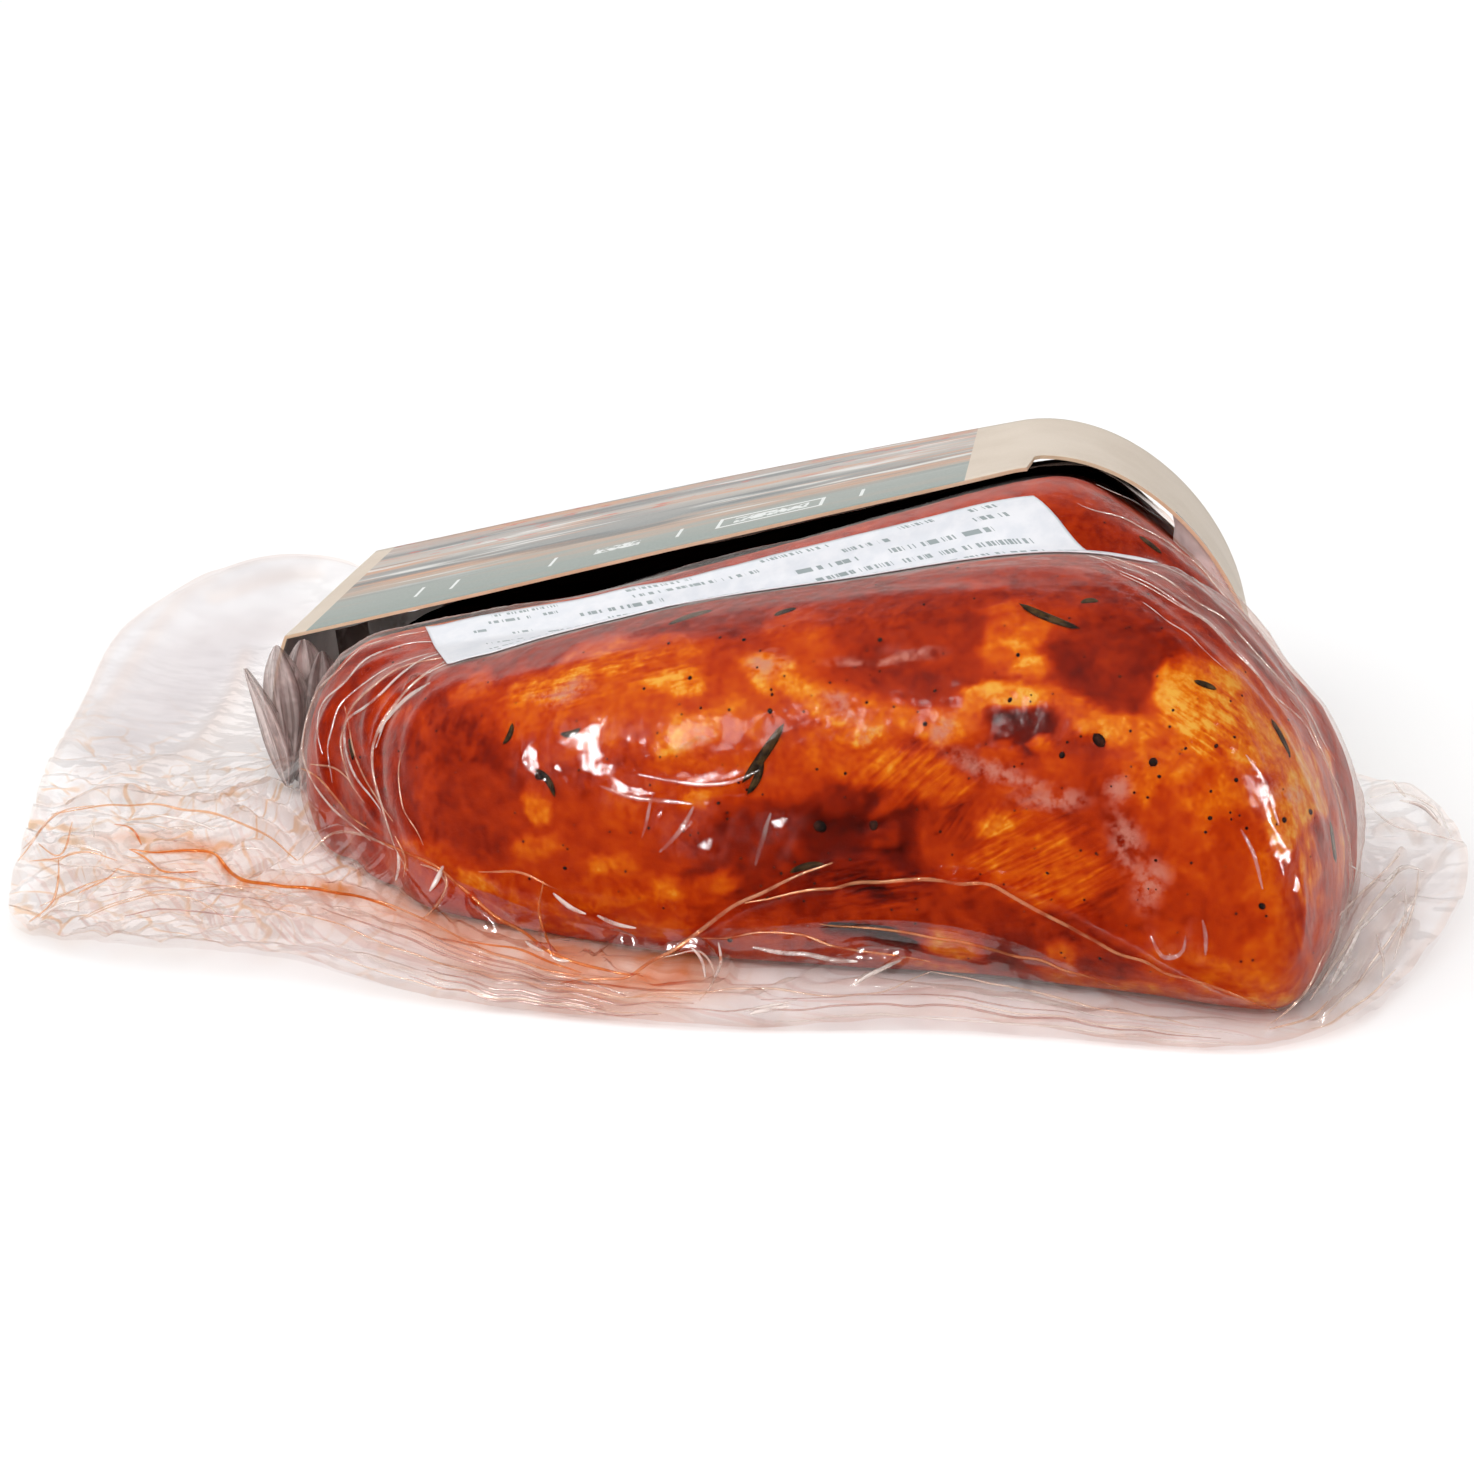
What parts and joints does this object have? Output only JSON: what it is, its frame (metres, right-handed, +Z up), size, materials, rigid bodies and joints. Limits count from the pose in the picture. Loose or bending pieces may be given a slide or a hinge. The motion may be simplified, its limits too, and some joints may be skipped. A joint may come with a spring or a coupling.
{
  "type": "pack of marinated spareribs",
  "caption": "Clear vacuum pack of folded marinated spareribs with a crumpled film margin, a plain price label on top and a paperboard wrap arching over the rear half.",
  "frame": {"origin": "centre of the bag's outline, on the surface the pack lies on", "axes": "+X along the pack's length towards the thick end of the meat, +Y to the back where the card wrap is, +Z up"},
  "size_m": [0.281, 0.202, 0.0715],
  "materials": {
    "film_and_meat": "clear glossy film over orange red marinated meat",
    "label_paper": "smooth near-white thermal paper",
    "printed_card": "satin print, grey with peach streaks, beige ends"
  },
  "bodies": {
    "root": {"bag": "film_and_meat", "price_label": "label_paper", "card_wrap": "printed_card"}
  },
  "joints": []
}
